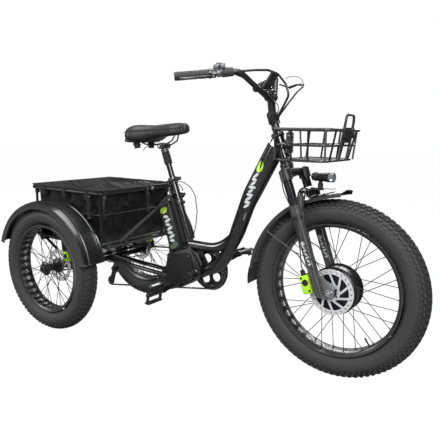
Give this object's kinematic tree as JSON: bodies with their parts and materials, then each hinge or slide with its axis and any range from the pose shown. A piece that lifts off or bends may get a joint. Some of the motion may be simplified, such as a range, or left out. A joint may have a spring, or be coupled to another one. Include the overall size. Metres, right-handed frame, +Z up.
{
  "type": "adult tricycle",
  "caption": "Step-through electric cargo tricycle: one wide wheel in front, two behind, wire basket ahead of the bars and a soft-sided cargo basket over the rear axle.",
  "frame": {"origin": "on the ground, under the centre of the bounding box", "axes": "+X towards the front wheel, +Y towards the rider's left, +Z up"},
  "size_m": [1.9598, 0.8, 1.2253],
  "materials": {
    "frame_paint": "gloss black enamel",
    "fender_gloss": "high-gloss black",
    "black_metal": "satin black anodised",
    "steel": "brushed",
    "tyre_rubber": "matt",
    "grip_rubber": "matt ribbed",
    "black_plastic": "satin",
    "lime_caliper": "satin lime green",
    "bag_fabric": "coated woven cloth",
    "saddle_vinyl": "fine grained vinyl",
    "lamp_body": "clear lens and bright shell"
  },
  "bodies": {
    "frame": {"frame": "frame_paint", "battery_rail": "black_metal", "rear_subframe": "frame_paint", "axle_bearing_left": "steel", "axle_bearing_right": "steel", "rear_caliper_left": "lime_caliper", "rear_caliper_right": "lime_caliper", "rear_fender_left": "fender_gloss", "rear_fender_right": "fender_gloss", "rear_basket_frame": "black_metal", "rear_basket_bag": "bag_fabric", "derailleur_body": "black_metal", "derailleur_cage": "black_metal", "chain": "steel", "front_basket": "black_metal"},
    "fork": {"fork_crown": "black_metal", "stem_base": "black_metal"},
    "fork_lowers": {"fork_lowers": "frame_paint", "front_fender": "fender_gloss", "front_caliper": "lime_caliper"},
    "headlight": {"headlight": "lamp_body"},
    "front_wheel": {"front_tyre": "tyre_rubber", "front_rim": "black_metal", "front_hub_motor": "black_metal", "front_rotor": "steel"},
    "rear_drive": {"rear_axle": "steel", "rear_cassette": "steel", "rear_tyre_left": "tyre_rubber", "rear_rim_left": "black_metal", "rear_hub_left": "black_metal", "rear_rotor_left": "steel"},
    "rear_wheel_right": {"rear_tyre_right": "tyre_rubber", "rear_rim_right": "black_metal", "rear_hub_right": "black_metal", "rear_rotor_right": "steel"},
    "crank": {"crank_right": "black_metal", "crank_left": "black_metal", "chainring": "black_metal"},
    "pedal_right": {"pedal_right": "black_metal"},
    "pedal_left": {"pedal_left": "black_metal"},
    "seat_post": {"seat_post": "steel", "seat_post_boot": "grip_rubber"},
    "seat_head": {"seat_post_head": "black_metal", "saddle": "saddle_vinyl"},
    "battery": {"battery_case": "black_plastic"},
    "battery_lock": {"battery_lock": "steel"},
    "seat_clamp": {"seat_clamp_lever": "steel"},
    "basket_lid": {"rear_basket_lid": "bag_fabric"},
    "stem": {"stem_arm": "black_metal", "handlebar": "black_metal", "brake_mount_left": "black_metal", "brake_mount_right": "black_metal", "shifter_body": "black_plastic", "display": "black_plastic", "grip_left": "grip_rubber", "grip_right": "grip_rubber"},
    "throttle": {"throttle_sleeve": "grip_rubber"},
    "brake_lever_left": {"brake_lever_left": "black_metal"},
    "brake_lever_right": {"brake_lever_right": "black_metal"},
    "shift_paddle": {"shifter_lever": "black_plastic"}
  },
  "joints": [
    {"name": "steering", "type": "hinge", "parent": "frame", "child": "fork", "pos_m": [0.36148, 0, 0.9], "axis": [-0.342, 0, 0.9397], "range_deg": [-45, 45]},
    {"name": "fork_travel", "type": "slide", "parent": "fork", "child": "fork_lowers", "axis": [-0.342, 0, 0.9397], "range_m": [0, 0.03], "stiffness_N_per_m": 10000, "springref_m": -0.03},
    {"name": "headlight_tilt", "type": "hinge", "parent": "fork_lowers", "child": "headlight", "pos_m": [0.53811, 0, 0.758], "axis": [0, 1, 0], "range_deg": [-10, 10]},
    {"name": "front_wheel_spin", "type": "hinge", "parent": "fork_lowers", "child": "front_wheel", "pos_m": [0.626, 0, 0.354], "axis": [0, 1, 0], "continuous": true},
    {"name": "rear_drive_spin", "type": "hinge", "parent": "frame", "child": "rear_drive", "pos_m": [-0.674, 0, 0.3005], "axis": [0, 1, 0], "continuous": true},
    {"name": "rear_right_spin", "type": "hinge", "parent": "frame", "child": "rear_wheel_right", "pos_m": [-0.674, 0, 0.3005], "axis": [0, 1, 0], "continuous": true},
    {"name": "crank_spin", "type": "hinge", "parent": "frame", "child": "crank", "pos_m": [-0.029, 0, 0.312], "axis": [0, 1, 0], "continuous": true},
    {"name": "pedal_right_spin", "type": "hinge", "parent": "crank", "child": "pedal_right", "pos_m": [-0.17062, -0.163, 0.2235], "axis": [0, 1, 0], "continuous": true},
    {"name": "pedal_left_spin", "type": "hinge", "parent": "crank", "child": "pedal_left", "pos_m": [0.11262, 0.163, 0.4005], "axis": [0, 1, 0], "continuous": true},
    {"name": "seat_height", "type": "slide", "parent": "frame", "child": "seat_post", "axis": [-0.342, 0, 0.9397], "range_m": [-0.045, 0.1]},
    {"name": "seat_suspension", "type": "slide", "parent": "seat_post", "child": "seat_head", "axis": [-0.342, 0, 0.9397], "range_m": [-0.025, 0], "stiffness_N_per_m": 12000, "springref_m": 0.01, "deforming": ["seat_post_boot"]},
    {"name": "battery_slide", "type": "slide", "parent": "frame", "child": "battery", "axis": [-0.342, 0, 0.9397], "range_m": [0, 0.15]},
    {"name": "battery_key", "type": "hinge", "parent": "battery", "child": "battery_lock", "pos_m": [-0.15768, -0.0423, 0.43311], "axis": [0, 1, 0], "range_deg": [0, 90]},
    {"name": "seat_clamp_swing", "type": "hinge", "parent": "frame", "child": "seat_clamp", "pos_m": [-0.16444, -0.0194, 0.73529], "axis": [-0.342, 0, 0.9397], "range_deg": [0, 110]},
    {"name": "lid_hinge", "type": "hinge", "parent": "frame", "child": "basket_lid", "pos_m": [-0.8925, 0, 0.6775], "axis": [0, -1, 0], "range_deg": [0, 110]},
    {"name": "stem_angle", "type": "hinge", "parent": "fork", "child": "stem", "pos_m": [0.3178, 0, 1.02], "axis": [0, 1, 0], "range_deg": [-25, 15]},
    {"name": "throttle_twist", "type": "hinge", "parent": "stem", "child": "throttle", "pos_m": [0.14688, -0.2322, 1.1663], "axis": [0.7807, 0.6164, 0.1027], "range_deg": [0, 60]},
    {"name": "brake_left_squeeze", "type": "hinge", "parent": "stem", "child": "brake_lever_left", "pos_m": [0.19053, 0.23596, 1.15559], "axis": [0, 0, 1], "range_deg": [0, 10]},
    {"name": "brake_right_squeeze", "type": "hinge", "parent": "stem", "child": "brake_lever_right", "pos_m": [0.19053, -0.23596, 1.15559], "axis": [0, 0, -1], "range_deg": [0, 10]},
    {"name": "gear_shift", "type": "hinge", "parent": "stem", "child": "shift_paddle", "pos_m": [0.19099, -0.19737, 1.2209], "axis": [0, 0, 1], "range_deg": [-30, 30]}
  ],
  "couplings": [
    {"joint": "crank_spin", "follows": "rear_drive_spin", "ratio": 0.4}
  ]
}
